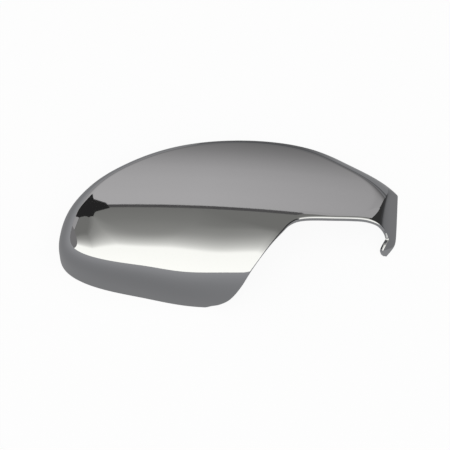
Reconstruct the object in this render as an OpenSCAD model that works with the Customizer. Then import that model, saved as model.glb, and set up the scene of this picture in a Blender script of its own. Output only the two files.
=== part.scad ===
// Outer cover of a car's right-hand door mirror: one plated moulding.
// The dome is a gently bowed crown, rounded over to a drafted rim that is flat at z = 0.
// Its inboard end is a leaning wall, and the arm of the mirror leaves through a cut-out.
// X runs from the outboard end to the inboard end, Y from the lower rim to the upper rim.
// Z runs out of the opening through the dome. The origin is in the rim plane, under the middle of the cover.

/* [Outline] */
// full length of the oval outline in mm, before the inboard end is squared off
outline_length = 232; // [200:1:260]
// width of the oval outline in mm, lower rim to upper rim
outline_width = 116; // [100:1:130]

/* [Dome] */
// height of the crown surface above the rim at its highest place, in mm
crown_height = 62; // [50:1:75]
// how far outboard of the middle the crown is highest, in mm
highest_place = 70; // [40:1:90]
// how far below the middle the ridge of the dome runs, in mm
ridge_place = 25; // [15:1:30]
// how far the ridge has dropped when it reaches the inboard end, in mm
inboard_drop = 27.6; // [15:0.1:34]
// slope of the crown from the ridge towards the upper rim, in degrees
crown_slope = 13.5; // [8:0.5:16]
// further drop of the bowed crown when it reaches the upper rim, in mm
crown_bow = 20.7; // [12:0.5:24]
// depth below the rim at which the walls would stand upright, in mm: it gives them draft
draft_depth = 9; // [5:0.5:12]

/* [Rounding] */
// reach of the rounding from the lower rim, as a part of the way to the middle
lower_reach = 0.83; // [0.7:0.01:0.9]
// reach of the rounding from the upper rim, as a part of the way to the middle
upper_reach = 0.115; // [0.1:0.005:0.2]
// reach of the rounding from the outboard end, as a part of the way to the middle
outboard_reach = 0.13; // [0.11:0.005:0.2]
// reach of the rounding from the lower outboard corner, as a part of the way to the middle
corner_reach = 0.40; // [0.34:0.01:0.5]
// reach of the rounding towards the inboard end, as a part of the way to the middle
inboard_reach = 0.26; // [0.2:0.01:0.4]
// how long the crown stays flat before it rounds over: the power of the rounding
crown_power = 2.6; // [2.2:0.1:3.2]
// how tightly the rounding turns into the wall: 2 is as in an oval, more is tighter
edge_power = 2; // [1.8:0.1:2.4]
// how tightly it turns into the wall at the lower outboard corner
corner_power = 6.5; // [4:0.5:8]

/* [Inboard end] */
// place of the inboard end wall's foot along the length, in mm from the middle
end_wall_place = 113.4; // [105:0.5:120]
// lean of the end wall away from the rim plane, in degrees
end_wall_angle = 71.5; // [60:0.5:80]
// skew of the end wall's foot in plan, in degrees
end_wall_skew = 2.6; // [0:0.2:6]
// softness of the fold between crown and end wall beside the cut-out, in mm
fold_softness = 14; // [8:0.5:18]
// softness of the same fold where it reaches the upper rim, in mm
fold_crispness = 3; // [2:0.5:8]
// where the foot of the end wall begins to turn in, in mm below the middle
turn_place = 15.5; // [10:0.5:20]
// how strongly the foot turns in below that place, in mm for each mm
turn_rate = 0.85; // [0.4:0.05:1.2]
// softness of that turn, in mm
turn_softness = 3; // [1.5:0.5:6]

/* [Arm cut-out] */
// tilt of the direction in which the cut-out is drawn, in degrees from the dome's axis
cut_tilt = 15; // [10:1:20]
// move of the whole cut-out along the length, in mm
cut_shift = 0; // [-4:0.5:4]

/* [Wall and edges] */
// thickness of the moulded wall in mm
wall = 2.2; // [1.6:0.1:3]
// radius of the rolled edge along the slanting side of the cut-out, in mm
slant_roll = 1.2; // [0.8:0.1:2]
// radius of the rolled edge along the top of the cut-out, in mm
top_roll = 1.5; // [1:0.1:2.5]
// depth of the returned flange along the top of the cut-out, in mm
top_flange = 4; // [3.4:0.2:6]

/* [Inside] */
// number of stiffening ribs across the inside
rib_count = 4; // [2:1:6]
// thickness of a rib in mm
rib_thickness = 1.4; // [1:0.1:2]
// height of a rib off the inner face in mm
rib_height = 3.5; // [2:0.5:6]
// width of a snap catch along the rim in mm
catch_width = 9; // [6:0.5:14]
// reach of a snap catch off the inner face in mm
catch_reach = 2.2; // [1:0.1:3]
// height of a snap catch's nose above the rim in mm
catch_height = 6.5; // [5:0.5:9]
// outer diameter of a locating post in mm
post_diameter = 7; // [5:0.5:10]
// length of a locating post below the inner face in mm
post_length = 14; // [8:1:20]

/* [Hidden] */
half_length = outline_length / 2;
half_width = outline_width / 2;
along = outline_length / 232;
across = outline_width / 116;
middle = [-1 * along, -1 * across];
// move that brings the middle of the whole cover over the origin
origin_shift = [0.735 * along, 0.310 * across, 0];
// outline against a plain oval, at equal steps of angle from the inboard end round by the upper rim
rim_shape = [
    1.056, 1.080, 1.047, 1.006, 1.059, 1.045, 1.008, 0.970, 0.920, 0.884, 0.883, 0.894,
    0.943, 1.010, 1.130, 1.077, 0.990, 1.006, 0.987, 1.008, 1.026, 1.060, 1.078, 1.064
];
// reach and power of the rounding, at equal steps of angle as above
reach_ring = [
    inboard_reach, upper_reach, upper_reach, upper_reach, upper_reach, upper_reach, outboard_reach,
    corner_reach, 0.9 * lower_reach, lower_reach, lower_reach, (inboard_reach + lower_reach) / 2
];
turn_power = (edge_power + corner_power) / 2;
power_ring = [
    edge_power, edge_power, edge_power, edge_power, edge_power, edge_power, turn_power,
    corner_power, turn_power, edge_power, edge_power, edge_power
];
// edge of the cut-out, from its foot on the lower rim up the slant, along the top and down the finger
cut_line = [
    [-15.6, -56.0], [-12.4, -55.5], [-6.1, -54.2], [0.5, -50.6], [7.3, -42.6], [15.0, -30.2],
    [24.4, -17.0], [34.2, -5.2], [41.0, 1.4], [50.0, 4.4], [70.0, 4.5], [88.0, 3.8],
    [98.5, 0.6], [104.2, -4.0], [107.0, -9.8], [104.8, -14.6], [103.1, -18.8], [104.0, -21.7]
];
// the fold is softest at the first of these places across the width, and crispest at the second
fold_span = [-0.026 * outline_width, 0.155 * outline_width];
// ribs and posts keep their places in the outline
first_rib = -0.362 * outline_length;
last_rib = 0.095 * outline_length;
rib_low = -0.31 * outline_width;
rib_high = 0.293 * outline_width;
first_rib_high = 0.172 * outline_width;
rib_sink = 0.9;
post_places = [
    [-0.25 * outline_length, 0.069 * outline_width],
    [0.0345 * outline_length, 0.0862 * outline_width]
];
post_wall = 1.8;
post_flare = 0.75;
catch_angles = [62, 86, 112, 142, 178, 214, 242];
catch_foot = catch_height - 2.5;
catch_top = catch_height + 8.5;
catch_edge = 0.3;
// rounding of the plain edges, and how far the edge is drawn down along the slant
edge_break = 0.3;
slant_flange = 0.4;
// how deep in the wall the catches and posts are rooted, as a part of its thickness
rooting = 0.6;
// columns run round the shell from the foot of the cut-out to the tip of the finger
side_columns = 66;
end_columns = 26;
columns = side_columns + end_columns;
rows = 17;
// rows stand closer together towards the rim
row_crowding = 1.6;
roll_rows = 5;
// part of the cut-out's edge that the columns of the long sides end on
side_share = 0.68;
start_angle = 262;
corner_angle = 18;
tip_angle = -22;

// smooth closed curve through a ring of weights, t in steps of the ring
function ring(v, t) =
    let(
        n = len(v),
        i = floor(t),
        f = t - i,
        a = v[(i - 1 + 2 * n) % n],
        b = v[(i + 2 * n) % n],
        c = v[(i + 1 + 2 * n) % n],
        d = v[(i + 2 + 2 * n) % n],
        g = 1 - f
    )
    (g * g * g * a + (3 * f * f * f - 6 * f * f + 4) * b
        + (-3 * f * f * f + 3 * f * f + 3 * f + 1) * c + f * f * f * d) / 6;

// value of a ring of weights in the direction of an angle
function around(v, angle) = ring(v, (angle % 360 + 360) % 360 / 360 * len(v));

// the crown before it is rounded over
function crown(x, y) =
    let(
        dx = (x + highest_place) / (half_length + highest_place),
        dy = y + ridge_place
    )
    crown_height - inboard_drop * dx * dx - tan(crown_slope) * dy
    - crown_bow * pow(dy / (half_width + ridge_place), 2);

// lesser of two heights, with a soft fold where they are near each other
function soft_min(a, b, k) =
    min(a, b) - pow(max(k - abs(a - b), 0) / k, 3) * k / 6;

function end_wall(y) =
    end_wall_place + tan(end_wall_skew) * y
    - turn_rate / 2 * (norm([y + turn_place, turn_softness]) - (y + turn_place));

// the fold at the inboard end grows crisp towards the upper rim
function softness(y) =
    let(s = min(max((y - fold_span.x) / (fold_span.y - fold_span.x), 0), 1))
    fold_softness + (fold_crispness - fold_softness) * s;

// height of the outer face over a point of the plan
function face(x, y) =
    let(
        px = (x - middle.x) / half_length,
        py = (y - middle.y) / half_width,
        angle = atan2(py, px),
        s = 1 - norm([px, py]) / around(rim_shape, angle),
        t = min(max(1 - s / around(reach_ring, angle), 0), 1),
        full = pow(max(1 - pow(t, crown_power), 0), 1 / around(power_ring, angle)),
        z = (crown(x, y) + draft_depth) * full - draft_depth
    )
    soft_min(z, (end_wall(y) - x) * tan(end_wall_angle), softness(y));

// plan point of a place on the round chart of the dome, in which the walls are opened out
function plan(q) =
    let(
        angle = atan2(q.y, q.x),
        r = around(rim_shape, angle) * sin(90 * min(norm(q), 1))
    )
    [middle.x + half_length * r * cos(angle), middle.y + half_width * r * sin(angle)];

function chart(x, y) =
    let(
        px = (x - middle.x) / half_length,
        py = (y - middle.y) / half_width,
        angle = atan2(py, px),
        w = asin(min(norm([px, py]) / around(rim_shape, angle), 1)) / 90
    )
    w * [cos(angle), sin(angle)];

function height_at(q) =
    let(p = plan(q))
    face(p.x, p.y);

// distance on the chart at which the outer face has a given height
function level(angle, z, low = 0.3, high = 1, n = 26) =
    let(m = (low + high) / 2)
    n == 0 ? m :
    height_at(m * [cos(angle), sin(angle)]) > z ?
        level(angle, z, m, high, n - 1) :
        level(angle, z, low, m, n - 1);

// point of the outer face seen at (u, v) along the direction of the cut-out
function seen(u, v, low, high, n = 26) =
    let(m = (low + high) / 2)
    n == 0 ? [u, m] :
    cos(cut_tilt) * m + sin(cut_tilt) * face(u, m) > v ?
        seen(u, v, low, m, n - 1) :
        seen(u, v, m, high, n - 1);

// smooth open curve through guide points, t from 0 to 1
function through(p, t) =
    let(
        n = len(p) - 1,
        s = min(max(t, 0), 1) * n,
        i = min(floor(s), n - 1),
        f = s - i,
        b = p[i],
        c = p[i + 1],
        a = i == 0 ? 2 * b - c : p[i - 1],
        d = i == n - 1 ? 2 * c - b : p[i + 2]
    )
    (2 * b + (c - a) * f + (2 * a - 5 * b + 4 * c - d) * f * f
        + (3 * b - a - 3 * c + d) * f * f * f) / 2;

function column_angle(i) =
    i < side_columns ?
        start_angle + (corner_angle - start_angle) * i / side_columns :
        corner_angle + (tip_angle - corner_angle) * (i - side_columns) / end_columns;

// how far along the cut-out's edge a column ends
function column_place(i) =
    i < side_columns ?
        side_share * i / side_columns :
        side_share + (1 - side_share) * (i - side_columns) / end_columns;

function cut_point(t) =
    let(
        g = through(cut_line, t),
        u = g.x * along + cut_shift,
        v = g.y * across,
        s = seen(u, v, -half_width * 1.04, half_width * 0.4)
    )
    chart(s.x, s.y);

// point of the outer face over a place on the chart
function spot(q) =
    let(p = plan(q))
    [p.x, p.y, face(p.x, p.y)];

function slopes(q, e = 0.0005) = [
    (spot(q + [e, 0]) - spot(q - [e, 0])) / (2 * e),
    (spot(q + [0, e]) - spot(q - [0, e])) / (2 * e)
];

function outward(q) =
    let(j = slopes(q), c = cross(j[0], j[1]))
    c / norm(c);

// direction into the wall: level at the rim, square to the face from a few millimetres up
function into(q, z) =
    let(
        n = outward(q),
        g = min(max(z / (3 * wall), 0), 1),
        d = [n.x, n.y, n.z * g],
        e = d / norm(d)
    )
    -e / (n * e);

function ease(a, b, t) =
    let(s = min(max((t - a) / (b - a), 0), 1))
    s * s * (3 - 2 * s);

// the top of the cut-out has the larger roll and the deeper flange
function on_top(t) = ease(0.42, 0.52, t) * (1 - ease(0.67, 0.76, t));

// the edge is plain at the foot of the cut-out and along the finger
function rolled(t) = ease(0, 0.06, t) * (1 - ease(0.7, 0.8, t));

function edge_roll(t) =
    edge_break + (slant_roll - edge_break) * rolled(t) + (top_roll - slant_roll) * on_top(t);

function edge_depth(t) =
    wall + edge_break + slant_flange * rolled(t)
    + (top_flange - wall - edge_break - slant_flange) * on_top(t);

// place on the chart, direction across the edge and direction out of the face where the roll starts
function edge_frame(t) =
    let(
        q = cut_point(t),
        n = outward(q),
        run = spot(cut_point(t + 0.004)) - spot(cut_point(t - 0.004)),
        c = cross(run, n),
        side = c / norm(c),
        j = slopes(q),
        a = j[0] * j[0],
        b = j[0] * j[1],
        d = j[1] * j[1],
        e = -edge_roll(t) * (side * j[0]),
        f = -edge_roll(t) * (side * j[1]),
        det = a * d - b * b
    )
    [q + [(e * d - f * b) / det, (a * f - b * e) / det], side, n];

// one column of the shell: outer points first, then the inner ones
function column(i) =
    let(
        angle = column_angle(i),
        t = column_place(i),
        first = level(angle, 0) * [cos(angle), sin(angle)],
        frame = edge_frame(t),
        last = frame[0],
        side = frame[1],
        n = outward(last),
        e = spot(last),
        r = edge_roll(t),
        ri = max(r - wall, 0.25),
        deep = edge_depth(t),
        places = [for (j = [0:rows]) first + (last - first) * pow(j / rows, row_crowding)],
        outer = [for (q = places) spot(q)],
        inner = [for (k = [0:rows]) outer[k] + wall * into(places[k], outer[k].z)],
        foot = inner[rows],
        turn = [for (k = [1:roll_rows - 1]) 90 * k / (roll_rows - 1)]
    )
    concat(
        [[outer[0].x, outer[0].y, 0]],
        [for (k = [1:rows]) outer[k]],
        [for (a = turn) e + r * sin(a) * side - r * (1 - cos(a)) * n],
        [e + r * side - deep * n],
        [[inner[0].x, inner[0].y, 0]],
        [for (k = [1:rows]) inner[k]],
        [for (a = turn) foot + ri * sin(a) * side - ri * (1 - cos(a)) * n],
        [foot + ri * side - (deep - wall) * n]
    );

band = rows + 1 + roll_rows;

function quad(a, b, c, d) = [[a, b, c], [a, c, d]];

function flat_list(v) = [for (a = v) for (b = a) b];

// the shell: outer face, inner face and the edges that join them
module shell() {
    // nothing stands lower than the rim plane
    points = [for (p = flat_list([for (i = [0:columns]) column(i)])) [p.x, p.y, max(p.z, 0)]];
    step = 2 * band;
    outer = [
        for (i = [0:columns - 1]) for (j = [0:band - 2])
            quad(i * step + j, (i + 1) * step + j, (i + 1) * step + j + 1, i * step + j + 1)
    ];
    inner = [
        for (i = [0:columns - 1]) for (j = [band:2 * band - 2])
            quad(i * step + j, i * step + j + 1, (i + 1) * step + j + 1, (i + 1) * step + j)
    ];
    rim = [
        for (i = [0:columns - 1])
            quad(i * step, i * step + band, (i + 1) * step + band, (i + 1) * step)
    ];
    brim = [
        for (i = [0:columns - 1])
            quad(
                i * step + band - 1, (i + 1) * step + band - 1,
                (i + 1) * step + 2 * band - 1, i * step + 2 * band - 1
            )
    ];
    first = [
        for (j = [0:band - 2]) quad(j, j + 1, band + j + 1, band + j)
    ];
    last = [
        for (j = [0:band - 2])
            quad(
                columns * step + j, columns * step + band + j,
                columns * step + band + j + 1, columns * step + j + 1
            )
    ];
    polyhedron(
        points = points,
        faces = flat_list(concat(outer, inner, rim, brim, first, last)),
        convexity = 6
    );
}

// stiffening rib across the inside, running out into the wall at both ends
module rib(x, low, high) {
    steps = 16;
    points = flat_list([
        for (i = [0:steps])
            let(
                s = i / steps,
                y = low + (high - low) * s,
                q = chart(x, y),
                p = spot(q),
                d = into(q, p.z),
                tall = (rib_height + rib_sink) * (1 - pow(2 * s - 1, 8)) - rib_sink,
                half = [rib_thickness / 2, 0, 0],
                top = p + 0.5 * wall * d,
                foot = p + (wall + tall) * d
            )
            [top - half, top + half, foot + half, foot - half]
    ]);
    sides = [
        for (i = [0:steps - 1]) for (k = [0:3])
            quad(4 * i + k, 4 * i + 4 + k, 4 * i + 4 + (k + 1) % 4, 4 * i + (k + 1) % 4)
    ];
    polyhedron(
        points = points,
        faces = flat_list(concat(
            sides,
            [quad(0, 1, 2, 3)],
            [quad(4 * steps, 4 * steps + 3, 4 * steps + 2, 4 * steps + 1)]
        )),
        convexity = 4
    );
}

// how far inwards from a point of the plan the outer face has a given height
function stand(p, dir, z, low = -4, high = 14, n = 24) =
    let(m = (low + high) / 2)
    n == 0 ? m :
    face(p.x + m * dir.x, p.y + m * dir.y) > z ?
        stand(p, dir, z, low, m, n - 1) :
        stand(p, dir, z, m, high, n - 1);

// one corner of a snap catch, small enough to leave its edge crisp
module catch_corner(place) {
    translate(place)
        cube(catch_edge, center = true);
}

// snap catch: a wedge on the inner face a little above the rim
module catch(angle) {
    q = level(angle, catch_height) * [cos(angle), sin(angle)];
    p = spot(q);
    n = outward(q);
    inward = -[n.x, n.y, 0] / norm([n.x, n.y]);
    sideways = cross([0, 0, 1], inward);
    hull() {
        for (side = [-0.5, 0.5]) {
            for (z = [catch_foot, catch_top]) {
                root = p + (stand(p, inward, z) + rooting * wall) * inward;
                edge = root + side * catch_width * sideways;
                catch_corner([edge.x, edge.y, z]);
            }
            catch_corner(p + (wall + catch_reach) * inward + side * (catch_width - 1) * sideways);
        }
    }
}

// hollow locating post standing down from the inner face
module post(x, y) {
    q = chart(x, y);
    n = outward(q);
    p = spot(q) - rooting * wall * n;
    tilt = acos(n.z);
    heading = atan2(n.y, n.x);
    low = p.z - wall - post_length;
    difference() {
        hull() {
            translate(p)
                rotate([0, tilt, heading])
                cylinder(d = post_diameter + 2 * post_flare, h = 0.2, $fn = 32);
            translate([x, y, low])
                cylinder(d = post_diameter, h = 0.2, $fn = 32);
        }
        translate([x, y, low - 1])
            cylinder(d = post_diameter - 2 * post_wall, h = post_length - 2, $fn = 24);
    }
}

module mirror_cover() {
    color([0.78, 0.79, 0.80])
        translate(origin_shift)
        union() {
            shell();
            for (i = [0:rib_count - 1]) {
                x = first_rib + (last_rib - first_rib) * i / (rib_count - 1);
                rib(x, rib_low, i == 0 ? first_rib_high : rib_high);
            }
            for (angle = catch_angles) catch(angle);
            for (place = post_places) post(place.x, place.y);
        }
}

mirror_cover();
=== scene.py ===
"""Looks of a plated door mirror cover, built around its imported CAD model."""

import math

import bpy
import numpy as np
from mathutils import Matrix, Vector


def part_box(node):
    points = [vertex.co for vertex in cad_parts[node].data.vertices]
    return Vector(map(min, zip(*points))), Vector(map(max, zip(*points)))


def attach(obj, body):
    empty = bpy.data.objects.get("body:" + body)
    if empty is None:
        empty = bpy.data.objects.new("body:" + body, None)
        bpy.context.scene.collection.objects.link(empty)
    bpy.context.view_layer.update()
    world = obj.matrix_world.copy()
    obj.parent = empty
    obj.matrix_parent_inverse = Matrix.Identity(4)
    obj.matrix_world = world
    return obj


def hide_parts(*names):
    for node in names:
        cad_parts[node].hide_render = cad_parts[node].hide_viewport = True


bl_info = {
    "name": "Plated Mirror Cover",
    "version": (1, 0, 0),
    "blender": (4, 5, 0),
    "location": "3D View > Sidebar > Mirror Cover",
    "description": "Builds a chrome-plated car mirror cover and its studio",
    "category": "Add Mesh",
}

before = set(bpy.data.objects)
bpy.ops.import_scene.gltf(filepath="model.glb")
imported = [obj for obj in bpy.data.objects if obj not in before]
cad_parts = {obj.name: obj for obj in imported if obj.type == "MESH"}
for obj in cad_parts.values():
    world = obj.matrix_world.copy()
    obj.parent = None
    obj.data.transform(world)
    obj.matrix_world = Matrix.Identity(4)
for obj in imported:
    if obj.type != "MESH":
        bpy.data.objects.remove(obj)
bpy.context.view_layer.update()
LOW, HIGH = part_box("mirror_cover")

MM = 0.001
# Size of the shell as the formulas here draw it, in millimetres. A margin under 0.2 mm is in it,
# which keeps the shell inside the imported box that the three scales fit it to.
DRAWN_LENGTH = 229.93
DRAWN_WIDTH = 115.92
DRAWN_HEIGHT = 61.86
ALONG = (HIGH.x - LOW.x) / MM / DRAWN_LENGTH
ACROSS = (HIGH.y - LOW.y) / MM / DRAWN_WIDTH
UPWARD = (HIGH.z - LOW.z) / MM / DRAWN_HEIGHT
# Middle of the outline in the drawing, and the shift from there to the record's origin, in mm.
OUTLINE_MIDDLE = (-1, -1)
ORIGIN_SHIFT = (0.735, 0.310)

# Outline against a plain oval, at equal steps of angle from the inboard end round by the upper rim.
RIM_SHAPE = np.array([
    1.056, 1.080, 1.047, 1.006, 1.059, 1.045, 1.008, 0.970, 0.920, 0.884, 0.883, 0.894,
    0.943, 1.010, 1.130, 1.077, 0.990, 1.006, 0.987, 1.008, 1.026, 1.060, 1.078, 1.064,
])
# Reach of the rounding beside the lower outboard corner, as a share of the lower rim's.
BESIDE_CORNER = 0.9
# The fold is softest at the first of these shares of the width, and crispest at the second.
FOLD_SPAN = (-0.026, 0.155)
# The way through the wall is level at the rim, and square to the face from this many walls up.
SQUARE_FROM = 3

# Edge of the cut-out in millimetres, from its foot up the slant, along the top and down the finger.
# The first number is x, and the second is cos(tilt) times y plus sin(tilt) times z.
CUT_LINE = np.array([
    (-15.6, -56.0), (-12.4, -55.5), (-6.1, -54.2), (0.5, -50.6), (7.3, -42.6), (15.0, -30.2),
    (24.4, -17.0), (34.2, -5.2), (41.0, 1.4), (50.0, 4.4), (70.0, 4.5), (88.0, 3.8),
    (98.5, 0.6), (104.2, -4.0), (107.0, -9.8), (104.8, -14.6), (103.1, -18.8), (104.0, -21.7),
])
CUT_TILT = math.radians(15)
# Where a search for that edge starts, as shares of half the width, and half a step along it, as
# a share of its length.
CUT_SEARCH = (-1.04, 0.4)
CUT_STEP = 0.004
# Parts of the edge where its top begins and ends, and where it begins and ends to be rolled.
TOP_SPAN = (0.42, 0.52, 0.67, 0.76)
ROLL_SPAN = (0, 0.06, 0.7, 0.8)
# Rounding of the plain edges, and how far the edge is drawn down along the slant, in mm.
EDGE_BREAK = 0.3
SLANT_FLANGE = 0.4
# Least radius inside the roll in mm, and the rounding of the flange's end, in mm and as a share of
# its thickness.
LEAST_BEND = 0.25
FLANGE_ROUND = 0.3

# Directions in which the shell's columns start, turn the upper inboard corner and end, in degrees
# from the inboard end by the upper rim.
START_ANGLE = 262.0
CORNER_ANGLE = 18.0
TIP_ANGLE = -22.0
# Share of the cut-out's edge that the columns of the long sides end on.
SIDE_SHARE = 0.68
# Rows of the shell stand closer together towards the rim.
ROW_CROWDING = 1.6
# Parts of the columns where the rim's rounding grows and fades, and the share left at both ends.
RIM_ROUND_SPAN = (0, 0.03, 0.93, 1)
RIM_ROUND_LEFT = 0.1
# Halvings in each search for a point.
HALVINGS = 40

# Ribs in the drawing, in mm: the first is short at its upper end, the last at the cut-out.
FIRST_RIB, LAST_RIB = -84, 22
RIB_LOW, LAST_RIB_LOW = -36, -29
RIB_HIGH, FIRST_RIB_HIGH = 34, 20
RIB_SINK = 0.9
RIB_FILLET = 0.7
# Directions of the snap catches in degrees, and the heights of a catch's foot, nose and top in mm.
CATCH_ANGLES = (62, 86, 112, 142, 178, 214, 242)
CATCH_HEIGHTS = (4, 6.5, 15)
# Rounding of the nose, and how far in from the face at the nose the roots are searched for, in mm.
NOSE_ROUND = 0.5
ROOT_SEARCH = (-4.0, 14.0)
# Share of the wall at which the roots of catches and posts lie, under the outer face.
ROOT_DEPTH = 0.6
# Places of the locating posts, their wall and the flare at their root, in mm.
POST_PLACES = ((-58, 8), (8, 10))
POST_WALL = 1.8
POST_FLARE = 0.75

# Widths of the patches of haze outside and of uneven satin inside, in mm.
HAZE_SIZE = 35
PATCH_SIZE = 20
# Depth of the inner face's grain, in mm.
GRAIN_DEPTH = 0.03

# The half cylinder of cloth round the stage, in metres, and the seam between its two parts, in
# degrees from overhead towards the lower rim, with the black strip's edges from there.
TUNNEL_RADIUS = 8.0
TUNNEL_LENGTH = 16.0
TUNNEL_END = 8.0
SEAM_ANGLE = -57.0
SEAM_EDGES = (-0.2, 1.2)
SEAM_RADIUS = TUNNEL_RADIUS - 0.05
# How far off the black flag and the turned-back cloth hang, in metres.
FLAG_REACH = 7.5
TURN_BACK_REACH = 7.7
# Middle of the cloths' sideways change, and where it starts and ends to either side, in metres.
FADE_MIDDLE = -0.4
FADE_START = 1.25
FADE_END = 5
# How far the far and the near cloth's greys move on there, in degrees for each metre, and the share
# of its grey that the far one loses.
FAR_TURN = 3.5
NEAR_TURN = -9
FAR_LOSS = -0.06
# Half the floor's width in metres, and the part of it that is plain white to camera and plating.
FLOOR_REACH = 20.0
FLOOR_WHITE = 0.93
# Plain light: strength of the world, and width in metres, watts and place of the panel.
WORLD_LIGHT = 0.45
PANEL_WIDTH = 1.6
PANEL_POWER = 16
PANEL_PLACE = (0, -0.2, 1.8)
# Camera: elevation, distance and seen width in metres, sensor in mm, and the place it looks at,
# along X and up the picture, in metres.
ELEVATION = math.radians(75)
DISTANCE = 2.5
SEEN_WIDTH = 0.306
SENSOR = 36
AIM = (-0.00285, -0.0001)


def linear(code):
    """Linear RGB of an sRGB colour written as a hex code."""
    values = [int(code[i:i + 2], 16) / 255 for i in (1, 3, 5)]
    return tuple(v / 12.92 if v <= 0.04045 else ((v + 0.055) / 1.055) ** 2.4 for v in values)


def length(name, description, value):
    """A length property, in metres, whose value is given in millimetres."""
    return bpy.props.FloatProperty(
        name=name, description=description, default=value * MM, min=0, unit="LENGTH", precision=5
    )


def share(name, description, value):
    """A property from 0 to 1."""
    return bpy.props.FloatProperty(
        name=name, description=description, default=value, min=0, max=1, subtype="FACTOR"
    )


def power(name, description, value):
    """A power of a superellipse."""
    return bpy.props.FloatProperty(name=name, description=description, default=value, min=1)


def angle_of(name, description, value):
    """An angle property, whose value is given in degrees."""
    return bpy.props.FloatProperty(
        name=name, description=description, default=math.radians(value), unit="ROTATION"
    )


def colour(name, description, code):
    """A colour property from an sRGB hex code."""
    return bpy.props.FloatVectorProperty(
        name=name, description=description, default=linear(code), min=0, max=1, subtype="COLOR"
    )


class CoverShape(bpy.types.PropertyGroup):
    """Sizes of the moulding."""

    outline_length: length("Outline length", "Length of the oval outline", 232 * ALONG)
    outline_width: length("Outline width", "Width of the oval outline", 116 * ACROSS)
    crown_height: length("Crown height", "Height of the crown at its highest place", 62 * UPWARD)
    highest_place: length("Highest place", "How far outboard the crown is highest", 70 * ALONG)
    ridge_place: length("Ridge place", "How far below the middle the ridge runs", 25 * ACROSS)
    inboard_drop: length("Inboard drop", "Drop of the ridge at the inboard end", 27.6 * UPWARD)
    crown_slope: angle_of("Crown slope", "Slope from the ridge to the upper rim", 13.5)
    crown_bow: length("Crown bow", "Further drop of the crown at the upper rim", 20.7 * UPWARD)
    draft_depth: length("Draft depth", "Depth at which the walls would stand upright", 9)
    lower_reach: share("Lower reach", "Rounding from the lower rim, of the way in", 0.83)
    upper_reach: share("Upper reach", "Rounding from the upper rim, of the way in", 0.115)
    outboard_reach: share("Outboard reach", "Rounding from the outboard end, of the way in", 0.13)
    corner_reach: share("Corner reach", "Rounding from the lower outboard corner", 0.40)
    inboard_reach: share("Inboard reach", "Rounding to the inboard end, of the way in", 0.26)
    crown_power: power("Crown power", "How long the crown stays flat before it rounds over", 2.6)
    edge_power: power("Edge power", "How tightly the rounding turns into the wall", 2)
    corner_power: power("Corner power", "The same at the lower outboard corner", 6.5)
    end_wall_place: length("End wall place", "Place of the end wall's foot", 113.4 * ALONG)
    end_wall_angle: angle_of("End wall angle", "Lean of the end wall from the rim plane", 71.5)
    end_wall_skew: angle_of("End wall skew", "Skew of the end wall's foot in plan", 2.6)
    fold_softness: length("Fold softness", "Softness of the fold beside the cut-out", 14)
    fold_crispness: length("Fold crispness", "Softness of the fold at the upper rim", 3)
    turn_place: length("Turn place", "Where the end wall's foot begins to turn in", 15.5 * ACROSS)
    turn_rate: share("Turn rate", "How strongly the foot turns in", 0.85)
    turn_softness: length("Turn softness", "Softness of that turn", 3)
    wall: length("Wall", "Thickness of the moulded wall", 2.2)
    slant_roll: length("Slant roll", "Rolled edge's radius on the slant", 1.2)
    top_roll: length("Top roll", "Rolled edge's radius along the top", 1.5)
    top_flange: length("Top flange", "Depth of the returned flange along the top", 4)
    rim_round: length("Rim round", "Radius that breaks the rim's edges", 0.45)
    rib_count: bpy.props.IntProperty(
        name="Ribs", description="Number of stiffening ribs", default=4, min=2, max=6
    )
    rib_thickness: length("Rib thickness", "Thickness of a rib", 1.4)
    rib_height: length("Rib height", "Height of a rib off the inner face", 3.5)
    catch_width: length("Catch width", "Width of a snap catch along the rim", 9)
    catch_reach: length("Catch reach", "Reach of a snap catch off the inner face", 2.2)
    post_diameter: length("Post diameter", "Outer diameter of a locating post", 7)
    post_length: length("Post length", "Length of a locating post", 14)


class CoverFinish(bpy.types.PropertyGroup):
    """Plating and how fine its unevenness is."""

    plating: colour("Plating", "Reflected colour of the bright plating", "#c6c7c9")
    inside_plating: colour("Inside plating", "Reflected colour of the plating inside", "#b9babc")
    gloss_roughness: share("Gloss roughness", "Roughness of the polished outer face", 0.03)
    satin_roughness: share("Satin roughness", "Roughness of the inner face", 0.34)
    peel_size: length("Peel size", "Width of one wave of the moulding's unevenness", 9)
    peel_depth: length("Peel depth", "Depth of that unevenness", 0.002)
    grain_size: length("Grain size", "Width of one grain of the inner face", 0.8)


class StudioSettings(bpy.types.PropertyGroup):
    """Floor, cards and light."""

    floor: colour("Floor", "Colour of the floor", "#f4f4f4")
    far_cloth: colour("Far cloth", "Tint of the grey cloth behind the cover", "#fffcfb")
    near_cloth: colour("Near cloth", "Tint of the lit cloth in front of the cover", "#fffef7")
    # Tint of the cards that are painted shadow round the cover, seen in the plating only.
    table: colour("Table", "Tint of the grey cards of painted shadow under the cover", "#fdfdff")


def ring(weights, t):
    """Periodic cubic B-spline with the given weights, at t in steps of the ring."""
    n = len(weights)
    i = np.floor(t).astype(int)
    f = t - i
    g = 1 - f
    a, b, c, d = (weights[(i + k) % n] for k in (-1, 0, 1, 2))
    blend_b = 3 * f**3 - 6 * f**2 + 4
    blend_c = -3 * f**3 + 3 * f**2 + 3 * f + 1
    return (g**3 * a + blend_b * b + blend_c * c + f**3 * d) / 6


def ease(low, high, t):
    """0 below low, 1 above high, and the smooth step 3s^2 - 2s^3 between them."""
    s = np.clip((t - low) / (high - low), 0, 1)
    return s * s * (3 - 2 * s)


def between(span, t):
    """0 outside a span of four numbers, 1 between its middle two, and smooth steps between."""
    return ease(span[0], span[1], t) * (1 - ease(span[2], span[3], t))


def unit(v):
    """Vectors scaled to length 1."""
    return v / np.linalg.norm(v, axis=-1, keepdims=True)


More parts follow.
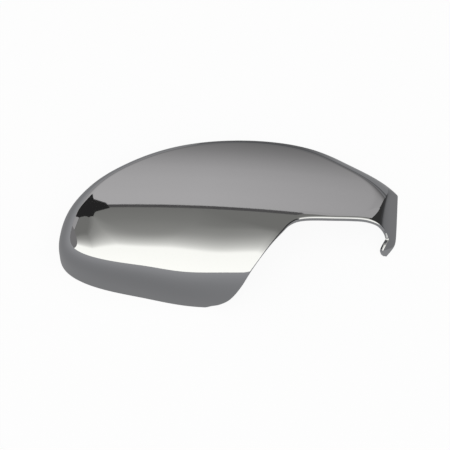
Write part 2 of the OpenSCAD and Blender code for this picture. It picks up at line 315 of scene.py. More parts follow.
def through(points, t):
    """Catmull-Rom curve through the points, t from 0 to 1, with straight ends."""
    ends = np.vstack([2 * points[:1] - points[1:2], points, 2 * points[-1:] - points[-2:-1]])
    n = len(points) - 1
    s = np.clip(t, 0, 1) * n
    i = np.minimum(s.astype(int), n - 1)
    f = (s - i)[..., None]
    a, b, c, d = (ends[i + k] for k in range(4))
    even = 2 * a - 5 * b + 4 * c - d
    odd = 3 * b - a - 3 * c + d
    return (2 * b + (c - a) * f + even * f**2 + odd * f**3) / 2


class Dome:
    """The moulding's faces as formulas, in millimetres, before the shift to the record's origin.

    The rings of reach and power have one value for every 30 degrees from the inboard end.
    """

    def __init__(self, shape):
        for name in CoverShape.__annotations__:
            setattr(self, name, getattr(shape, name))
        for name, prop in CoverShape.__annotations__.items():
            if prop.keywords.get("unit") == "LENGTH":
                setattr(self, name, getattr(self, name) / MM)
        self.half = np.array([self.outline_length / 2, self.outline_width / 2])
        self.middle = np.array([OUTLINE_MIDDLE[0] * ALONG, OUTLINE_MIDDLE[1] * ACROSS])
        self.shift = np.array([ORIGIN_SHIFT[0] * ALONG, ORIGIN_SHIFT[1] * ACROSS, 0])
        upper, lower = [self.upper_reach] * 5, [self.lower_reach] * 2
        self.reach_ring = np.array([
            self.inboard_reach, *upper, self.outboard_reach, self.corner_reach,
            BESIDE_CORNER * self.lower_reach, *lower, (self.inboard_reach + self.lower_reach) / 2,
        ])
        edge, corner = self.edge_power, self.corner_power
        turn = (edge + corner) / 2
        self.power_ring = np.array([*[edge] * 6, turn, corner, turn, *[edge] * 3])

    def around(self, weights, angle):
        """Value of a ring of weights in the direction of an angle."""
        return ring(weights, (angle % (2 * np.pi)) / (2 * np.pi) * len(weights))

    def crown(self, x, y):
        """Height of the crown: it falls with the square of x, and with y and its square."""
        dx = (x + self.highest_place) / (self.half[0] + self.highest_place)
        dy = y + self.ridge_place
        bow = self.crown_bow * (dy / (self.half[1] + self.ridge_place)) ** 2
        return self.crown_height - self.inboard_drop * dx**2 - math.tan(self.crown_slope) * dy - bow

    def end_wall(self, y):
        """Foot of the end wall: a skewed line that turns in along one half of a hyperbola."""
        turned = y + self.turn_place
        bend = np.hypot(turned, self.turn_softness) - turned
        return self.end_wall_place + math.tan(self.end_wall_skew) * y - self.turn_rate / 2 * bend

    def face(self, x, y):
        """Height of the outer face: crown times a superellipse of the way in, folded to the end.

        With t from 0, where the rounding starts, to 1 at its foot, it is (1 - t^a)^(1/b). The fold
        is the lower of crown and end wall less k/6 times h^3. Here k is the fold's softness, and h
        goes from 0, where the two are k apart, to 1, where they meet.
        """
        px = (x - self.middle[0]) / self.half[0]
        py = (y - self.middle[1]) / self.half[1]
        angle = np.arctan2(py, px)
        way_in = 1 - np.hypot(px, py) / self.around(RIM_SHAPE, angle)
        t = np.clip(1 - way_in / self.around(self.reach_ring, angle), 0, 1)
        full = (1 - t**self.crown_power) ** (1 / self.around(self.power_ring, angle))
        top = (self.crown(x, y) + self.draft_depth) * full - self.draft_depth
        wall = (self.end_wall(y) - x) * math.tan(self.end_wall_angle)
        low, high = FOLD_SPAN[0] * 2 * self.half[1], FOLD_SPAN[1] * 2 * self.half[1]
        crisp = np.clip((y - low) / (high - low), 0, 1)
        k = self.fold_softness + (self.fold_crispness - self.fold_softness) * crisp
        fold = (np.maximum(k - np.abs(top - wall), 0) / k) ** 3 * k / 6
        return np.minimum(top, wall) - fold

    def spot(self, q):
        """Point of the outer face over a place on the round chart, which opens out the walls.

        The way out to the rim is the sine of a quarter turn times the distance on the chart.
        """
        angle = np.arctan2(q[..., 1], q[..., 0])
        out = np.minimum(np.linalg.norm(q, axis=-1), 1)
        r = self.around(RIM_SHAPE, angle) * np.sin(np.pi / 2 * out)
        x = self.middle[0] + self.half[0] * r * np.cos(angle)
        y = self.middle[1] + self.half[1] * r * np.sin(angle)
        return np.stack([x, y, self.face(x, y)], axis=-1)

    def chart(self, x, y):
        """Place on the chart of a point of the plan: the inverse of spot."""
        px = (x - self.middle[0]) / self.half[0]
        py = (y - self.middle[1]) / self.half[1]
        angle = np.arctan2(py, px)
        w = np.arcsin(np.minimum(np.hypot(px, py) / self.around(RIM_SHAPE, angle), 1)) / (np.pi / 2)
        return w[..., None] * np.stack([np.cos(angle), np.sin(angle)], axis=-1)

    def slopes(self, q):
        """Derivatives of spot along the chart's two directions, by central differences."""
        step = 0.0005
        a, b = np.array([step, 0]), np.array([0, step])
        return [(self.spot(q + d) - self.spot(q - d)) / (2 * step) for d in (a, b)]

    def outward(self, q):
        """Unit normal of the outer face."""
        return unit(np.cross(*self.slopes(q)))

    def into(self, q, z):
        """Way through the wall for 1 mm: level at the rim, square to the face from higher up."""
        n = self.outward(q)
        lift = np.clip(z / (SQUARE_FROM * self.wall), 0, 1)
        d = unit(n * np.stack([np.ones_like(z), np.ones_like(z), lift], -1))
        return -d / np.sum(n * d, axis=-1, keepdims=True)

    def level(self, angle, z):
        """Distance on the chart, in the direction of an angle, at which the face has height z."""
        low, high = np.full_like(angle, 0.3), np.ones_like(angle)
        ray = np.stack([np.cos(angle), np.sin(angle)], axis=-1)
        for _ in range(HALVINGS):
            m = (low + high) / 2
            above = self.spot(m[..., None] * ray)[..., 2] > z
            low, high = np.where(above, m, low), np.where(above, high, m)
        return low[..., None] * ray

    def cut_point(self, t):
        """Place on the chart of a point of the cut-out's edge, found along the tilted direction."""
        guide = through(CUT_LINE, t)
        u, v = guide[..., 0] * ALONG, guide[..., 1] * ACROSS
        low, high = (np.full_like(u, self.half[1] * end) for end in CUT_SEARCH)
        for _ in range(HALVINGS):
            m = (low + high) / 2
            beyond = math.cos(CUT_TILT) * m + math.sin(CUT_TILT) * self.face(u, m) > v
            low, high = np.where(beyond, low, m), np.where(beyond, m, high)
        return self.chart(u, low)

    def on_top(self, t):
        """1 along the top of the cut-out, 0 on the slant and the finger."""
        return between(TOP_SPAN, t)

    def rolled(self, t):
        """1 where the edge is rolled, 0 at the foot of the cut-out and along the finger."""
        return between(ROLL_SPAN, t)

    def edge_roll(self, t):
        """Radius of the rolled edge."""
        slant = EDGE_BREAK + (self.slant_roll - EDGE_BREAK) * self.rolled(t)
        return slant + (self.top_roll - self.slant_roll) * self.on_top(t)

    def edge_depth(self, t):
        """Depth of the returned flange under the outer face."""
        plain = self.wall + EDGE_BREAK
        slant = plain + SLANT_FLANGE * self.rolled(t)
        return slant + (self.top_flange - plain - SLANT_FLANGE) * self.on_top(t)

    def edge_frame(self, t):
        """Where the rolled edge starts on the chart, and the direction across the edge.

        The start lies one radius back from the cut, a step found from the face's two slopes.
        """
        q = self.cut_point(t)
        run = self.spot(self.cut_point(t + CUT_STEP)) - self.spot(self.cut_point(t - CUT_STEP))
        side = unit(np.cross(run, self.outward(q)))
        ja, jb = self.slopes(q)
        a, b, d = (np.sum(p * r, axis=-1) for p, r in ((ja, ja), (ja, jb), (jb, jb)))
        roll = self.edge_roll(t)
        e = -roll * np.sum(side * ja, axis=-1)
        f = -roll * np.sum(side * jb, axis=-1)
        det = a * d - b * b
        back = np.stack([(e * d - f * b) / det, (a * f - b * e) / det], axis=-1)
        return q + back, side


def shell_rings(dome, side_columns=460, end_columns=170, outer_rows=84, inner_rows=26):
    """Closed rings of points, one for each column of the shell from the cut-out's foot to the tip.

    A column is a line across the chart from the rim to the cut-out. Its ring runs round the rim's
    broken edge, up the outer face, over the rolled edge, round the flange's end and back inside.
    The second result is how many points of a ring lie outside, on the polished face.
    """
    side = np.arange(side_columns) / side_columns
    end = np.arange(end_columns + 1) / end_columns
    angle = np.radians(np.concatenate([
        START_ANGLE + (CORNER_ANGLE - START_ANGLE) * side,
        CORNER_ANGLE + (TIP_ANGLE - CORNER_ANGLE) * end,
    ]))
    t = np.concatenate([SIDE_SHARE * side, SIDE_SHARE + (1 - SIDE_SHARE) * end])
    columns = np.arange(len(t)) / (len(t) - 1)
    kept = RIM_ROUND_LEFT + (1 - RIM_ROUND_LEFT) * between(RIM_ROUND_SPAN, columns)
    broken = dome.rim_round * kept

    first = dome.level(angle, broken)
    last, across = dome.edge_frame(t)
    foot = dome.level(angle, np.zeros_like(angle))

    def lines(n):
        """Straight lines on the chart from the rim to the cut-out, in n steps."""
        s = (np.linspace(0, 1, n + 1) ** ROW_CROWDING)[None, :, None]
        return first[:, None] + (last - first)[:, None] * s

    outer_q = lines(outer_rows)
    outer = dome.spot(outer_q)
    inner_q = lines(inner_rows)
    inner = dome.spot(inner_q)
    inner = inner + dome.wall * dome.into(inner_q, inner[..., 2])

    rim = dome.spot(foot)
    n = dome.outward(foot)
    level_in = -unit(n * np.array([1, 1, 0]))
    wide = dome.wall / np.linalg.norm(n[:, :2], axis=-1)
    up = np.array([0, 0, 1])

    def corner(place, radius, turn):
        """Quarter circle in the upright plane across the rim, centre at place and one radius up."""
        a = np.radians(turn)[None, :, None]
        r = radius[:, None, None]
        centre = (rim + level_in * place[:, None] + up * radius[:, None])[:, None]
        return centre + r * (level_in[:, None] * np.sin(a) - up * np.cos(a))

    turn = np.linspace(0, 90, 5)
    outer_corner = corner(broken, broken, -turn[::-1])
    inner_corner = corner(wide - broken, broken, turn)

    normal = dome.outward(last)[:, None]
    across = across[:, None]
    start = dome.spot(last)[:, None]
    under = inner[:, -1:]
    r = dome.edge_roll(t)[:, None, None]
    ri = np.maximum(r - dome.wall, LEAST_BEND)
    deep = dome.edge_depth(t)[:, None, None]
    tip = np.minimum(FLANGE_ROUND, (r - ri) * FLANGE_ROUND)
    a = np.radians(np.linspace(0, 90, 9)[1:])[None, :, None]
    roll = start + r * np.sin(a) * across - r * (1 - np.cos(a)) * normal
    bend = under + ri * np.sin(a) * across - ri * (1 - np.cos(a)) * normal
    c = np.radians(np.linspace(0, 90, 4))[None, :, None]
    down = start + r * across - deep * normal
    end_out = down - tip * (1 - np.cos(c)) * across + tip * (1 - np.sin(c)) * normal
    lower = under + ri * across - (deep - dome.wall) * normal
    end_in = lower + tip * (1 - np.cos(c)) * across + tip * (1 - np.sin(c)) * normal

    rings = np.concatenate([
        outer_corner[:, ::-1], outer[:, 1:], roll, end_out,
        end_in[:, ::-1], bend[:, ::-1], inner[:, ::-1], inner_corner[:, ::-1],
    ], axis=1)
    rings[..., 2] = np.maximum(rings[..., 2], 0)
    outside = outer_corner.shape[1] + outer_rows + roll.shape[1] + end_out.shape[1]
    return rings[::-1] + dome.shift, outside


def ring_faces(columns, count):
    """Quads between neighbouring closed rings, and one face over each end."""
    i, j = np.meshgrid(np.arange(columns - 1), np.arange(count), indexing="ij")
    k = (j + 1) % count
    quads = np.stack([i * count + j, (i + 1) * count + j, (i + 1) * count + k, i * count + k], -1)
    faces = quads.reshape(-1, 4).tolist()
    faces.append(list(range(count)))
    faces.append(list(range(columns * count - 1, (columns - 1) * count - 1, -1)))
    return faces


def add_piece(name, parts, materials):
    """A mesh object that rides on the cover, from lofts: rings of points in millimetres."""
    points, faces, start = [], [], 0
    for rings in parts:
        columns, count = rings.shape[:2]
        points.append(rings.reshape(-1, 3) * MM)
        faces.extend([[i + start for i in face] for face in ring_faces(columns, count)])
        start += columns * count
    mesh = bpy.data.meshes.new(name)
    mesh.from_pydata(np.concatenate(points).tolist(), [], faces)
    for material in materials:
        mesh.materials.append(material)
    mesh.polygons.foreach_set("use_smooth", np.full(len(mesh.polygons), True))
    piece = bpy.data.objects.new(name, mesh)
    bpy.context.scene.collection.objects.link(piece)
    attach(piece, "root")
    return piece


def rib_rings(dome, x, low, high, steps=60):
    """Rib across the inside: a rounded profile of the rib's height is carried along the inner face.

    The height follows 1 - (2s - 1)^8 along the rib, s from 0 to 1, so both ends run into the wall.
    """
    s = np.linspace(0, 1, steps + 1)
    q = dome.chart(np.full_like(s, x), low + (high - low) * s)
    top = dome.spot(q)
    down = dome.into(q, top[:, 2])
    tall = (dome.rib_height + RIB_SINK) * (1 - (2 * s - 1) ** 8) - RIB_SINK
    half, fillet = dome.rib_thickness / 2, RIB_FILLET
    # Across the rib in millimetres, and up it as a share of its height, from the root to the top.
    side = np.array([(half + fillet, -0.30), (half + 0.35 * fillet, 0.04), (half, 0.2),
                     (half * 0.97, 0.85), (half * 0.7, 0.97), (half * 0.3, 1.0)])
    across = np.concatenate([side[:, 0], -side[::-1, 0]])
    up = np.concatenate([side[:, 1], side[::-1, 1]])
    depth = dome.wall + np.where(up > 0, up * tall[:, None], up * dome.wall)
    rings = top[:, None] + depth[..., None] * down[:, None]
    rings[..., 0] += across
    return rings[::-1] + dome.shift


def catch_rings(dome, angle):
    """Snap catch: a wedge from two roots in the wall to a rounded nose, carried along the rim."""
    low, nose, high = CATCH_HEIGHTS
    q = dome.level(np.array([angle]), np.array([nose]))
    p = dome.spot(q)[0]
    n = dome.outward(q)[0]
    inward = -unit(n * np.array([1, 1, 0]))
    along = np.cross([0, 0, 1], inward)
    height = np.array([low, high])
    near, far = (np.full(2, end) for end in ROOT_SEARCH)
    for _ in range(HALVINGS):
        m = (near + far) / 2
        above = dome.face(p[0] + m * inward[0], p[1] + m * inward[1]) > height
        near, far = np.where(above, near, m), np.where(above, m, far)
    root = near + ROOT_DEPTH * dome.wall
    reach = dome.wall + dome.catch_reach
    turn = np.radians(np.linspace(-60, 80, 9))
    r = NOSE_ROUND
    # Reach inwards and height of the profile: low root, rounded nose, high root.
    inn = np.concatenate([[root[0]], reach - r + r * np.cos(turn), [root[1]]])
    z = np.concatenate([[low], nose + r * np.sin(turn), [high]])
    # Places of the profiles across the catch as shares of half its width, and how far the nose
    # stands back there in mm. The nose is 1 mm narrower than the roots.
    sides = np.array([-1, -0.985, -0.95, 0.95, 0.985, 1])
    drop = np.array([0.35, 0.08, 0, 0, 0.08, 0.35])
    width = np.concatenate([[dome.catch_width], np.full(len(turn), dome.catch_width - 1),
                            [dome.catch_width]]) / 2
    reach_in = inn - drop[:, None] * (width < dome.catch_width / 2)
    rings = (
        np.array([p[0], p[1], 0])
        + reach_in[..., None] * inward
        + (sides[:, None] * width)[..., None] * along
        + z[:, None] * np.array([0, 0, 1])
    )
    return rings + dome.shift


def post_rings(dome, x, y, count=64):
    """Locating post: rings blend from a wide one lying on the inner face to a level one at the end.

    The last rings turn in over the post's end and go up the blind hole to its flat bottom.
    """
    q = dome.chart(np.array([x]), np.array([y]))
    n = dome.outward(q)[0]
    p = dome.spot(q)[0]
    a = np.linspace(0, 2 * np.pi, count, endpoint=False)
    first = unit(np.cross(n, [0, 1, 0]))
    second = np.cross(n, first)
    lying = np.cos(a)[:, None] * first + np.sin(a)[:, None] * second
    level = np.cos(a)[:, None] * np.array([1, 0, 0]) + np.sin(a)[:, None] * np.array([0, -1, 0])
    r1 = dome.post_diameter / 2
    r0 = r1 + POST_FLARE
    hole = r1 - POST_WALL
    long = dome.post_length
    # Distance below the outer face's point and radius, from the root round to the hole's bottom.
    deep = dome.wall
    profile = np.array([
        (deep * ROOT_DEPTH, r0 + 1.3), (deep, r0 + 0.9), (deep + 0.25, r0 + 0.4),
        (deep + 0.8, r0 + 0.1),
        (deep + 1.6, r0), (deep + long - 0.4, r1), (deep + long - 0.12, r1 - 0.12),
        (deep + long, r1 - 0.4), (deep + long, hole + 0.3), (deep + long - 0.3, hole),
        (deep + 3.2, hole), (deep + 3, hole - 0.2),
    ])
    share_down = np.clip((profile[:, 0] - deep) / long, 0, 1)[:, None, None]
    ring_shape = unit(lying * (1 - share_down) + level * share_down)
    depth, radius = profile.T[:, :, None, None]
    hanging = p + np.array([0, 0, -1]) * depth
    tilted = p - n * depth
    mix = np.clip(share_down * 3, 0, 1)
    rings = tilted * (1 - mix) + hanging * mix + ring_shape * radius
    return rings + dome.shift


def add_node(tree, kind, links=(), **settings):
    """One node with its settings, and links given as (output socket, input name)."""
    node = tree.nodes.new(kind)
    for name, value in settings.items():
        if hasattr(node, name):
            setattr(node, name, value)
        else:
            node.inputs[name.replace("_", " ")].default_value = value
    for socket, name in links:
        tree.links.new(socket, node.inputs[name])
    return node


def new_material(name):
    """An empty node material and its tree."""
    material = bpy.data.materials.new(name)
    material.use_nodes = True
    material.node_tree.nodes.clear()
    return material, material.node_tree


def bright_plating(finish):
    """Bright chrome over nickel on moulded ABS.

    To the eye it is a clean mirror. The moulding's faint waves, some 9 mm wide, bend what it
    mirrors a little, and the polish is hazier in patches, so edges in it aren't all as sharp.
    """
    material, tree = new_material("chrome-plated ABS, polished")
    place = add_node(tree, "ShaderNodeTexCoord").outputs["Object"]
    waves = add_node(tree, "ShaderNodeTexNoise", [(place, "Vector")],
                     Scale=1 / finish.peel_size, Detail=1.0, Roughness=0.4)
    bump = add_node(tree, "ShaderNodeBump", [(waves.outputs["Fac"], "Height")],
                    Strength=1.0, Distance=finish.peel_depth)
    haze = add_node(tree, "ShaderNodeTexNoise", [(place, "Vector")],
                    Scale=1 / (HAZE_SIZE * MM), Detail=4.0, Roughness=0.6)
    rough = add_node(tree, "ShaderNodeMapRange", [(haze.outputs["Fac"], "Value")],
                     From_Min=0.35, From_Max=0.75, To_Min=finish.gloss_roughness * 0.7,
                     To_Max=finish.gloss_roughness * 1.6)
    shader = add_node(tree, "ShaderNodeBsdfPrincipled",
                      [(bump.outputs["Normal"], "Normal"), (rough.outputs["Result"], "Roughness")],
                      Metallic=1.0, Base_Color=(*finish.plating, 1))
    add_node(tree, "ShaderNodeOutputMaterial", [(shader.outputs["BSDF"], "Surface")])
    return material


def satin_plating(finish):
    """The same plating over the mould's eroded inner face.

    To the eye it shines softly, with a fine grain and slightly uneven patches. The real grain is a
    few tenths of a millimetre wide, and it is drawn coarser here so that it shows.
    """
    material, tree = new_material("chrome-plated ABS, eroded face")
    place = add_node(tree, "ShaderNodeTexCoord").outputs["Object"]
    grain = add_node(tree, "ShaderNodeTexNoise", [(place, "Vector")],
                     Scale=1 / finish.grain_size, Detail=2.0, Roughness=0.5)
    bump = add_node(tree, "ShaderNodeBump", [(grain.outputs["Fac"], "Height")],
                    Strength=0.6, Distance=GRAIN_DEPTH * MM)
    patches = add_node(tree, "ShaderNodeTexNoise", [(place, "Vector")],
                       Scale=1 / (PATCH_SIZE * MM), Detail=3.0, Roughness=0.5)
    rough = add_node(tree, "ShaderNodeMapRange", [(patches.outputs["Fac"], "Value")],
                     From_Min=0.3, From_Max=0.7, To_Min=finish.satin_roughness * 0.85,
                     To_Max=finish.satin_roughness * 1.15)
    shader = add_node(tree, "ShaderNodeBsdfPrincipled",
                      [(bump.outputs["Normal"], "Normal"), (rough.outputs["Result"], "Roughness")],
                      Metallic=1.0, Base_Color=(*finish.inside_plating, 1))
    add_node(tree, "ShaderNodeOutputMaterial", [(shader.outputs["BSDF"], "Surface")])
    return material


def finishes(scene):
    """The two finishes, made once."""
    finish = scene.cover_finish
    names = ("chrome-plated ABS, polished", "chrome-plated ABS, eroded face")
    found = [bpy.data.materials.get(name) for name in names]
    if None in found:
        found = [bright_plating(finish), satin_plating(finish)]
    return found


class COVER_OT_shell(bpy.types.Operator):
    """Build the plated shell with its rolled cut-out, finger and rim"""

    bl_idname = "cover.shell"
    bl_label = "Shell"

    def execute(self, context):
        dome = Dome(context.scene.cover_shape)
        rings, outside = shell_rings(dome)
        columns, count = rings.shape[:2]
        piece = add_piece("plated_shell", [rings], finishes(context.scene))
        inside = np.tile(np.arange(count) >= outside, columns - 1).astype(np.int32)
        inside = np.concatenate([inside, [0, 0]])
        piece.data.polygons.foreach_set("material_index", inside)
        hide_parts("mirror_cover")
        return {"FINISHED"}


class COVER_OT_ribs(bpy.types.Operator):
    """Build the stiffening ribs across the inside"""

    bl_idname = "cover.ribs"
    bl_label = "Ribs"

    def execute(self, context):
        dome = Dome(context.scene.cover_shape)
        ribs = []
        for i in range(dome.rib_count):
            x = ALONG * (FIRST_RIB + (LAST_RIB - FIRST_RIB) * i / (dome.rib_count - 1))
            low = LAST_RIB_LOW if i == dome.rib_count - 1 else RIB_LOW
            high = FIRST_RIB_HIGH if i == 0 else RIB_HIGH
            ribs.append(rib_rings(dome, x, low * ACROSS, high * ACROSS))
        add_piece("stiffening_ribs", ribs, finishes(context.scene)[1:])
        return {"FINISHED"}


class COVER_OT_catches(bpy.types.Operator):
    """Build the snap catches a little above the rim"""

    bl_idname = "cover.catches"
    bl_label = "Catches"

    def execute(self, context):
        dome = Dome(context.scene.cover_shape)
        catches = [catch_rings(dome, angle) for angle in np.radians(CATCH_ANGLES)]
        add_piece("snap_catches", catches, finishes(context.scene)[1:])
        return {"FINISHED"}


class COVER_OT_posts(bpy.types.Operator):
    """Build the hollow locating posts"""

    bl_idname = "cover.posts"
    bl_label = "Posts"

    def execute(self, context):
        dome = Dome(context.scene.cover_shape)
        posts = [post_rings(dome, x * ALONG, y * ACROSS) for x, y in POST_PLACES]
        add_piece("locating_posts", posts, finishes(context.scene)[1:])
        return {"FINISHED"}


def graded_card(name, tint, stops, measure, fade=None):
    """A card that glows as its painted grey would in even light; the grey changes along a measure.

    The measure takes the node tree and the place in metres and gives a socket, and the stops are
    pairs of a value of it and the card's tone there. The fade is a second such measure, and the
    tone is multiplied by it.
    """
    material, tree = new_material(name)
    place = add_node(tree, "ShaderNodeTexCoord").outputs["Object"]
    first, last = stops[0][0], stops[-1][0]
    spread = add_node(tree, "ShaderNodeMapRange", [(measure(tree, place), "Value")],
                      From_Min=first, From_Max=last)
    ramp = add_node(tree, "ShaderNodeValToRGB", [(spread.outputs["Result"], "Fac")])
    elements = ramp.color_ramp.elements
    while len(elements) < len(stops):
        elements.new(0.5)
    brightest = max(tone for _, tone in stops)
    for element, (value, tone) in zip(elements, stops):
        element.position = (value - first) / (last - first)
        element.color = (*(part * tone / brightest for part in tint), 1)
    glow = add_node(tree, "ShaderNodeEmission", [(ramp.outputs["Color"], "Color")],
                    Strength=brightest)
    if fade:
        level = add_node(tree, "ShaderNodeMath", [(fade(tree, place), 0)], operation="MULTIPLY")
        level.inputs[1].default_value = brightest
        tree.links.new(level.outputs[0], glow.inputs["Strength"])
    add_node(tree, "ShaderNodeOutputMaterial", [(glow.outputs["Emission"], "Surface")])
    return material


def distance_from(x, y):
    """Measure for a card: distance in metres from a point of the floor, given in millimetres."""
    def measure(tree, place):
        away = add_node(tree, "ShaderNodeVectorMath", [(place, 0)], operation="DISTANCE")
        away.inputs[1].default_value = (x * MM, y * MM, 0)
        return away.outputs["Value"]
    return measure


def sideways(tree, place, base, rate, both=True):
    """A value that starts at the base and changes by the rate for each metre out to either side.

    It starts and levels off at fixed places. Where both is false, it changes to the left only.
    """
    split = add_node(tree, "ShaderNodeSeparateXYZ", [(place, "Vector")])
    moved = add_node(tree, "ShaderNodeMath", [(split.outputs["X"], 0)], operation="ADD")
    moved.inputs[1].default_value = -FADE_MIDDLE
    away = add_node(tree, "ShaderNodeMath", [(moved.outputs[0], 0)],
                    operation="ABSOLUTE" if both else "MULTIPLY")
    away.inputs[1].default_value = -1
    value = add_node(tree, "ShaderNodeMapRange", [(away.outputs[0], "Value")],
                     From_Min=FADE_START, From_Max=FADE_END, To_Min=base,
                     To_Max=base + rate * (FADE_END - FADE_START))
    return value.outputs["Result"]


def angle_overhead(rate=0, both=True):
    """Measure for the tunnel: degrees from overhead towards the lower rim, moved on sideways."""
    def measure(tree, place):
        split = add_node(tree, "ShaderNodeSeparateXYZ", [(place, "Vector")])
        flipped = add_node(tree, "ShaderNodeMath", [(split.outputs["Y"], 0)], operation="MULTIPLY")
        flipped.inputs[1].default_value = -1
        turn = add_node(tree, "ShaderNodeMath",
                        [(flipped.outputs[0], 0), (split.outputs["Z"], 1)], operation="ARCTAN2")
        degrees = add_node(tree, "ShaderNodeMath", [(turn.outputs[0], 0)], operation="DEGREES")
        total = add_node(tree, "ShaderNodeMath", [
            (degrees.outputs[0], 0), (sideways(tree, place, 0, rate, both), 1)], operation="ADD")
        return total.outputs[0]
    return measure


def stage_piece(name, points, faces, material):
    """A plain piece of the stage, which isn't part of the cover."""
    mesh = bpy.data.meshes.new(name)
    mesh.from_pydata([tuple(map(float, p)) for p in points], [], faces)
    mesh.materials.append(material)
    piece = bpy.data.objects.new(name, mesh)
    bpy.context.scene.collection.objects.link(piece)
    return piece


def reflected_only(piece):
    """Hide a piece of the stage from everything but reflections."""
    piece.visible_camera = False
    piece.visible_shadow = False
    piece.visible_diffuse = False


def card(name, points, material):
    """A flat card of the stage with its corners at the points, seen in reflections only."""
    reflected_only(stage_piece(name, points, [list(range(len(points)))], material))


def directions(pairs, reach):
    """Points at a distance in given directions: degrees from overhead, then degrees along X."""
    a, s = np.radians(np.array(pairs, float)).T
    return reach * np.stack([np.sin(s), -np.cos(s) * np.sin(a), np.cos(s) * np.cos(a)], axis=-1)


def cloth(name, first, last, radius, material):
    """A strip of a half cylinder that lies along X, between two angles from overhead."""
    a = np.radians(np.linspace(first, last, 2 + int(last - first) // 3))
    ends = np.array([-TUNNEL_LENGTH, TUNNEL_END])
    x = np.tile(ends, len(a))
    y = -np.repeat(np.sin(a), 2) * radius
    z = np.repeat(np.cos(a), 2) * radius
    k = np.arange(len(a) - 1) * 2
    faces = np.stack([k, k + 1, k + 3, k + 2], axis=-1).tolist()
    reflected_only(stage_piece(name, np.stack([x, y, z], axis=-1), faces, material))


def light_tunnel(studio):
    """Cloth walls round the cover: a grey one behind it and a bright one in front of it.

    A black seam parts them. The right end is dark and the left end grey, a black flag hangs at the
    left, and a corner of grey cloth is turned back over the seam at the right.
    """
    far = graded_card("far cloth, grey", studio.far_cloth, [
        (-90, 0.19), (-87, 0.25), (-83, 0.35), (-79, 0.47), (-75, 0.57), (-70, 0.63), (-62, 0.665),
        (-57, 0.665),
    ], angle_overhead(FAR_TURN, False), lambda tree, place: sideways(tree, place, 1, FAR_LOSS))
    near = graded_card("near cloth, lit from its foot", studio.near_cloth, [
        (-57, 0.26), (-50, 0.31), (-45, 0.38), (-40, 0.42), (-35, 0.47), (-30, 0.54), (-25, 0.62),
        (-20, 0.71), (-15, 0.80), (-10, 0.90), (-5, 1.02), (0, 1.16), (5, 1.34), (10, 1.57),
        (15, 1.67), (90, 1.74),
    ], angle_overhead(NEAR_TURN))
    cloth("far_cloth", -90, SEAM_ANGLE, TUNNEL_RADIUS, far)
    cloth("near_cloth", SEAM_ANGLE, 90, TUNNEL_RADIUS, near)
    plain = {name: graded_card(name, studio.far_cloth, [(-90, tone), (90, tone)], angle_overhead())
             for name, tone in (("black seam", 0.12), ("black flag", 0.03),
                                ("dark end cloth", 0.05), ("grey end cloth", 0.28),
                                ("grey cloth, turned back", 0.553))}
    first, last = SEAM_ANGLE + SEAM_EDGES[0], SEAM_ANGLE + SEAM_EDGES[1]
    cloth("seam", first, last, SEAM_RADIUS, plain["black seam"])
    arc = np.radians(np.linspace(-90, 90, 31))
    for name, x, tone in (("right_end", TUNNEL_END, "dark end cloth"),
                          ("left_end", -TUNNEL_LENGTH, "grey end cloth")):
        card(name, [(x, -TUNNEL_RADIUS * np.sin(a), TUNNEL_RADIUS * np.cos(a)) for a in arc],
             plain[tone])
    card("left_flag", directions([
        (-55.5, -3.8), (-48, -11), (-45, -20), (-49, -36), (-57, -47), (-75, -54), (-83, -55),
        (-82, -46), (-74, -30), (-68, -13), (-62, -7), (-58, -4.2)], FLAG_REACH),
        plain["black flag"])
    card("right_turn_back", directions([
        (-58, 17), (-48, 24), (-43, 34), (-42, 47), (-62, 47)], TURN_BACK_REACH),
        plain["grey cloth, turned back"])


def white_floor(studio):
    """The floor: matt white paper, which looks plainly white and keeps the cover's shadow."""
    material, tree = new_material("matt white paper")
    paper = add_node(tree, "ShaderNodeBsdfPrincipled",
                     Base_Color=(*studio.floor, 1), Roughness=0.9)
    white = add_node(tree, "ShaderNodeEmission", Color=(1, 1, 1, 1), Strength=1.0)
    ray = add_node(tree, "ShaderNodeLightPath")
    seen = add_node(tree, "ShaderNodeMath", [(ray.outputs["Is Camera Ray"], 0),
                                             (ray.outputs["Is Glossy Ray"], 1)])
    seen = add_node(tree, "ShaderNodeMath", [(seen.outputs[0], 0),
                                             (ray.outputs["Is Transmission Ray"], 1)],
                    use_clamp=True)
    part = add_node(tree, "ShaderNodeMath", [(seen.outputs[0], 0)], operation="MULTIPLY")
    part.inputs[1].default_value = FLOOR_WHITE
    mixed = add_node(tree, "ShaderNodeMixShader", [
        (part.outputs[0], "Fac"), (paper.outputs["BSDF"], 1), (white.outputs["Emission"], 2)])
    add_node(tree, "ShaderNodeOutputMaterial", [(mixed.outputs["Shader"], "Surface")])
    r = FLOOR_REACH
    stage_piece("floor", [(-r, -r, 0), (r, -r, 0), (r, r, 0), (-r, r, 0)], [(0, 1, 2, 3)], material)


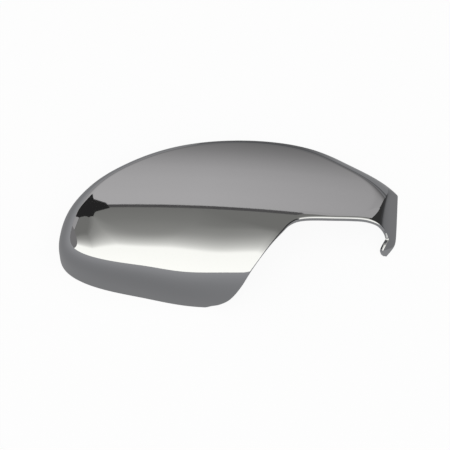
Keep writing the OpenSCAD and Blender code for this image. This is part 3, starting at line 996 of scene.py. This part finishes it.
def painted_shadow_cards(studio):
    """Painted shadow round the cover: grey cards seen in reflections only, with darker parts behind
    and right.

    Each card has its height over the floor, stops by the distance in metres from a point that is
    given in millimetres, and its corners, in metres.
    """
    for name, tone, height, stops, middle, corners in (
        # Painted shadow of the cover: this grey is darkest by its foot and lightens further out.
        ("table", "grey table", 0.0004, [
            (0.06, 0.27), (0.08, 0.285), (0.11, 0.315), (0.16, 0.36), (0.25, 0.40), (0.5, 0.43),
            (1, 0.44)], (-60, 0), [(-9, -9), (9, -9), (9, 9), (-9, 9)]),
        # Painted shadow of the cover behind it, darkest some 8 to 12 cm from a point behind its
        # right end.
        ("table_far", "grey table, darker behind", 0.00045, [
            (0.05, 0.32), (0.08, 0.15), (0.125, 0.14), (0.17, 0.20), (0.3, 0.28), (1, 0.30)],
         (130, 50), [(-0.02, 0.055), (0.112, 0.028), (9, 7), (9, 9), (-0.8, 9)]),
        # Grey by the cover's right end, darker further to the right.
        ("table_right", "grey table, darker to the right", 0.0005, [
            (0.055, 0.26), (0.08, 0.24), (0.105, 0.16), (0.135, 0.07), (1, 0.05)], (60, 0),
         [(0.112, -0.03), (9, -6), (9, 8), (0.112, 0.03)]),
    ):
        card(name, [(x, y, height) for x, y in corners],
             graded_card(tone, studio.table, stops, distance_from(*middle)))


def plain_light(scene):
    """Even light from all round and a soft panel overhead, which the plating doesn't mirror."""
    world = bpy.data.worlds.new("even room light")
    world.use_nodes = True
    world.node_tree.nodes["Background"].inputs["Color"].default_value = (1, 1, 1, 1)
    world.node_tree.nodes["Background"].inputs["Strength"].default_value = WORLD_LIGHT
    scene.world = world

    lamp = bpy.data.lights.new("overhead_panel", "AREA")
    lamp.shape = "SQUARE"
    lamp.size = PANEL_WIDTH
    lamp.energy = PANEL_POWER
    panel = bpy.data.objects.new("overhead_panel", lamp)
    panel.location = PANEL_PLACE
    panel.visible_glossy = False
    scene.collection.objects.link(panel)


def place_camera(scene):
    """The camera, on the lower rim's side: the lens is sensor times distance over seen width."""
    camera = bpy.data.cameras.new("camera")
    camera.sensor_width = SENSOR
    camera.lens = SENSOR * DISTANCE / SEEN_WIDTH
    eye = bpy.data.objects.new("camera", camera)
    back = Vector((0, -math.cos(ELEVATION), math.sin(ELEVATION)))
    upward = Vector((0, math.sin(ELEVATION), math.cos(ELEVATION)))
    target = Vector((AIM[0], 0, 0)) + upward * AIM[1]
    eye.location = target + back * DISTANCE
    eye.rotation_euler = (-back).to_track_quat("-Z", "Y").to_euler()
    scene.collection.objects.link(eye)
    scene.camera = eye


class COVER_OT_stage(bpy.types.Operator):
    """Set up the floor, the cards, the light and the camera"""

    bl_idname = "cover.stage"
    bl_label = "Stage"

    def execute(self, context):
        scene = context.scene
        studio = scene.studio_settings
        scene.view_settings.view_transform = "Standard"
        white_floor(studio)
        light_tunnel(studio)
        painted_shadow_cards(studio)
        plain_light(scene)
        place_camera(scene)
        return {"FINISHED"}


class COVER_PT_panel(bpy.types.Panel):
    """Lists the cover's pieces and its studio"""

    bl_idname = "COVER_PT_panel"
    bl_label = "Mirror Cover"
    bl_space_type = "VIEW_3D"
    bl_region_type = "UI"
    bl_category = "Mirror Cover"

    def draw(self, context):
        """Draw a button for each operator and a field for each setting."""
        for operator in OPERATORS:
            self.layout.operator(operator.bl_idname)
        for group in ("cover_shape", "cover_finish", "studio_settings"):
            settings = getattr(context.scene, group)
            for name in type(settings).__annotations__:
                self.layout.prop(settings, name)


OPERATORS = (COVER_OT_shell, COVER_OT_ribs, COVER_OT_catches, COVER_OT_posts, COVER_OT_stage)
CLASSES = (CoverShape, CoverFinish, StudioSettings, *OPERATORS, COVER_PT_panel)


def register():
    """Register the classes and hang the settings on the scene."""
    for cls in CLASSES:
        bpy.utils.register_class(cls)
    bpy.types.Scene.cover_shape = bpy.props.PointerProperty(type=CoverShape)
    bpy.types.Scene.cover_finish = bpy.props.PointerProperty(type=CoverFinish)
    bpy.types.Scene.studio_settings = bpy.props.PointerProperty(type=StudioSettings)


def unregister():
    """Take the settings and the classes away again."""
    del bpy.types.Scene.studio_settings
    del bpy.types.Scene.cover_finish
    del bpy.types.Scene.cover_shape
    for cls in reversed(CLASSES):
        bpy.utils.unregister_class(cls)


def main():
    """Build the cover and its stage."""
    register()
    bpy.ops.cover.shell()
    bpy.ops.cover.ribs()
    bpy.ops.cover.catches()
    bpy.ops.cover.posts()
    bpy.ops.cover.stage()


if __name__ == "__main__":
    main()
